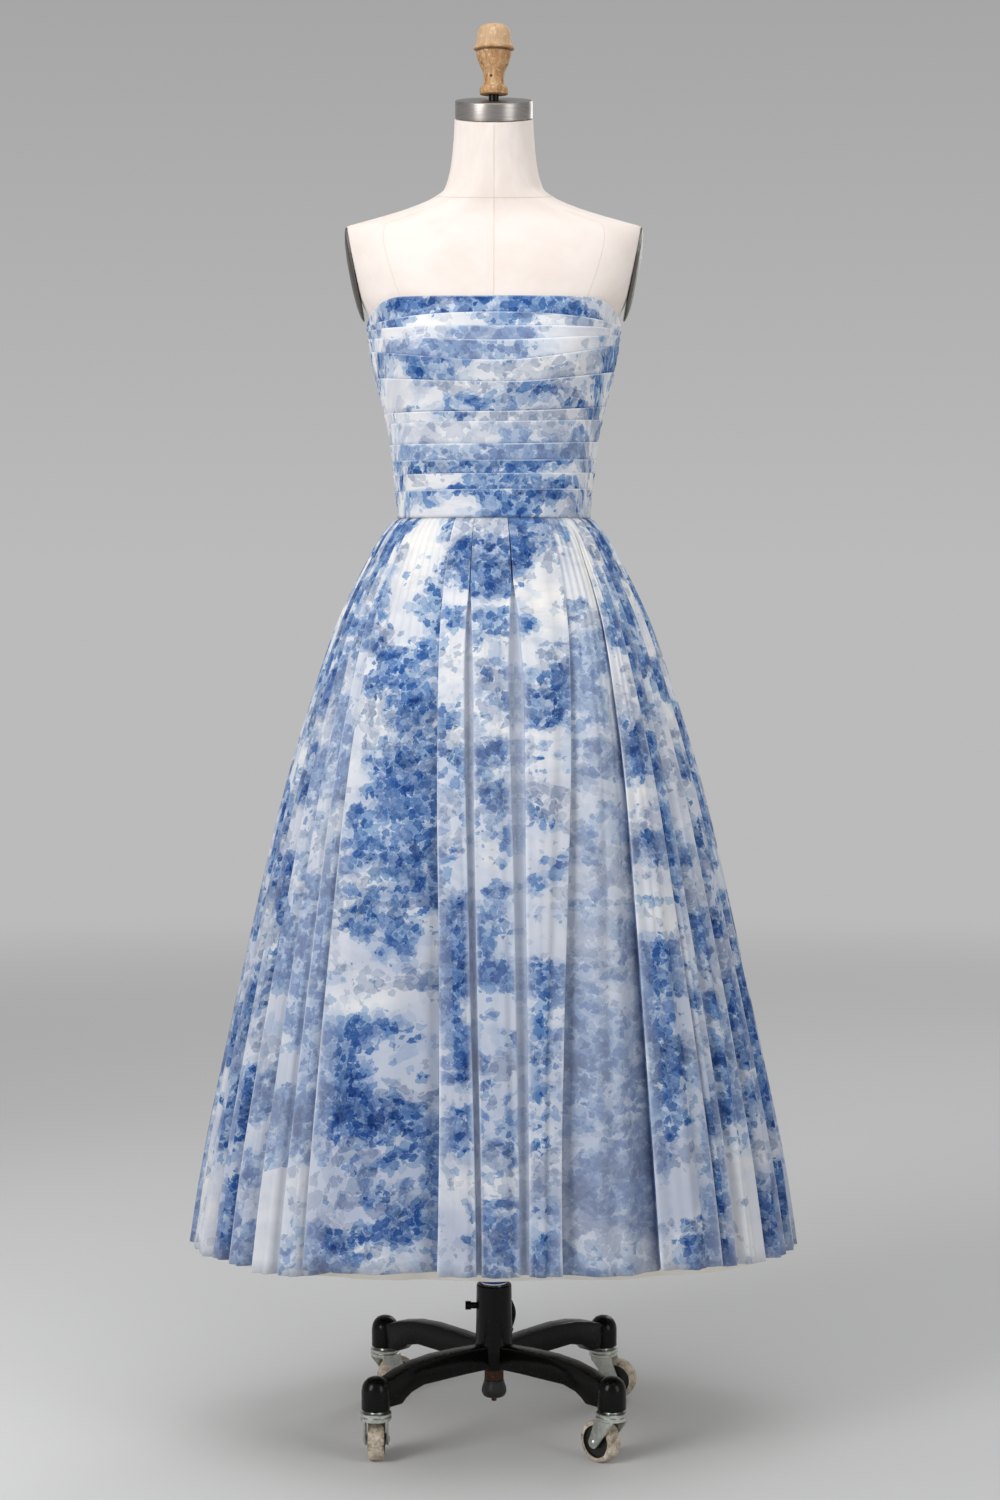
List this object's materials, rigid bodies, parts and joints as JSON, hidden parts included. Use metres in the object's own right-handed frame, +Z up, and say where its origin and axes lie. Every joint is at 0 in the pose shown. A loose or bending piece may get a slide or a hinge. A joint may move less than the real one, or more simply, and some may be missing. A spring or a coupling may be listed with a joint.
{
  "type": "strapless midi dress on a dress form",
  "caption": "Strapless midi dress with a tucked bodice and a full pleated skirt, on a limbless dress form whose pole slides and turns in a wheeled iron base.",
  "frame": {"origin": "on the floor, under the middle of the whole", "axes": "+Z up, the front of the dress faces -Y, +X is to the right seen from the front"},
  "size_m": [0.7496, 0.4986, 1.755],
  "materials": {
    "printed_tulle": "fine printed tulle over a printed underlayer, matt, slightly sheer",
    "printed_bodice": "printed tulle laid in tucks over a firm ground, matt",
    "ivory_lining": "ivory lining satin, soft sheen",
    "cream_linen": "cream linen cover, matt",
    "brushed_steel": "brushed",
    "chrome": "polished",
    "black_iron": "black enamel, worn at edges",
    "zinc": "dull zinc plate",
    "turned_wood": "old turned wood, worn varnish",
    "plywood": "raw",
    "black_rubber": "matt",
    "wheel_rubber": "worn tread on a black core"
  },
  "bodies": {
    "base": {"base_casting": "black_iron", "caster_plate_front_left": "zinc", "caster_plate_front_right": "zinc", "caster_plate_back_right": "zinc", "caster_plate_back_left": "zinc"},
    "clamp_screw": {"clamp_screw": "black_iron"},
    "release_lever": {"release_lever": "black_iron"},
    "pole": {"pole": "chrome", "pole_plug": "black_iron", "foot_bumper": "black_rubber"},
    "form": {"torso": "cream_linen", "arm_plate_left": "brushed_steel", "arm_plate_right": "brushed_steel", "neck_cap": "brushed_steel", "finial_stud": "black_iron", "finial": "turned_wood", "form_board": "plywood", "pole_flange": "black_iron", "bodice_front": "printed_bodice", "bodice_back_right": "printed_bodice", "bodice_back_left": "printed_bodice", "skirt_front": "printed_tulle", "skirt_back_right": "printed_tulle", "skirt_back_left": "printed_tulle", "lining_front": "ivory_lining", "lining_back": "ivory_lining", "zip_slider": "zinc"},
    "zip_pull": {"zip_pull": "zinc"},
    "caster_front_left": {"fork_front_left": "zinc", "axle_front_left": "zinc"},
    "wheel_front_left": {"wheel_front_left": "wheel_rubber"},
    "caster_front_right": {"fork_front_right": "zinc", "axle_front_right": "zinc"},
    "wheel_front_right": {"wheel_front_right": "wheel_rubber"},
    "caster_back_right": {"fork_back_right": "zinc", "axle_back_right": "zinc"},
    "wheel_back_right": {"wheel_back_right": "wheel_rubber"},
    "caster_back_left": {"fork_back_left": "zinc", "axle_back_left": "zinc"},
    "wheel_back_left": {"wheel_back_left": "wheel_rubber"}
  },
  "joints": [
    {"name": "height_slide", "type": "slide", "parent": "base", "child": "pole", "axis": [0, 0, 1], "range_m": [-0.03, 0.06]},
    {"name": "form_turn", "type": "hinge", "parent": "pole", "child": "form", "pos_m": [0, 0, 0.79], "axis": [0, 0, 1], "continuous": true},
    {"name": "clamp_screw_turn", "type": "hinge", "parent": "base", "child": "clamp_screw", "pos_m": [-0.03, 0, 0.157], "axis": [-1, 0, 0], "continuous": true},
    {"name": "release_lever_tilt", "type": "hinge", "parent": "base", "child": "release_lever", "pos_m": [0.01885, 0.01581, 0.125], "axis": [-0.6428, 0.766, 0], "range_deg": [0, 20]},
    {"name": "zip_pull_swing", "type": "hinge", "parent": "form", "child": "zip_pull", "pos_m": [0, 0.106, 1.3635], "axis": [1, 0, 0], "range_deg": [0, 150]},
    {"name": "swivel_front_left", "type": "hinge", "parent": "base", "child": "caster_front_left", "pos_m": [-0.1425, -0.1425, 0.058], "axis": [0, 0, 1], "continuous": true},
    {"name": "roll_front_left", "type": "hinge", "parent": "caster_front_left", "child": "wheel_front_left", "pos_m": [-0.1425, -0.1245, 0.0255], "axis": [-1, 0, 0], "continuous": true},
    {"name": "swivel_front_right", "type": "hinge", "parent": "base", "child": "caster_front_right", "pos_m": [0.1425, -0.1425, 0.058], "axis": [0, 0, 1], "continuous": true},
    {"name": "roll_front_right", "type": "hinge", "parent": "caster_front_right", "child": "wheel_front_right", "pos_m": [0.12977, -0.12977, 0.0255], "axis": [-0.7071, -0.7071, 0], "continuous": true},
    {"name": "swivel_back_right", "type": "hinge", "parent": "base", "child": "caster_back_right", "pos_m": [0.1425, 0.1425, 0.058], "axis": [0, 0, 1], "continuous": true},
    {"name": "roll_back_right", "type": "hinge", "parent": "caster_back_right", "child": "wheel_back_right", "pos_m": [0.15962, 0.13694, 0.0255], "axis": [0.309, 0.9511, 0], "continuous": true},
    {"name": "swivel_back_left", "type": "hinge", "parent": "base", "child": "caster_back_left", "pos_m": [-0.1425, 0.1425, 0.058], "axis": [0, 0, 1], "continuous": true},
    {"name": "roll_back_left", "type": "hinge", "parent": "caster_back_left", "child": "wheel_back_left", "pos_m": [-0.12832, 0.15358, 0.0255], "axis": [-0.6157, 0.788, 0], "continuous": true}
  ]
}
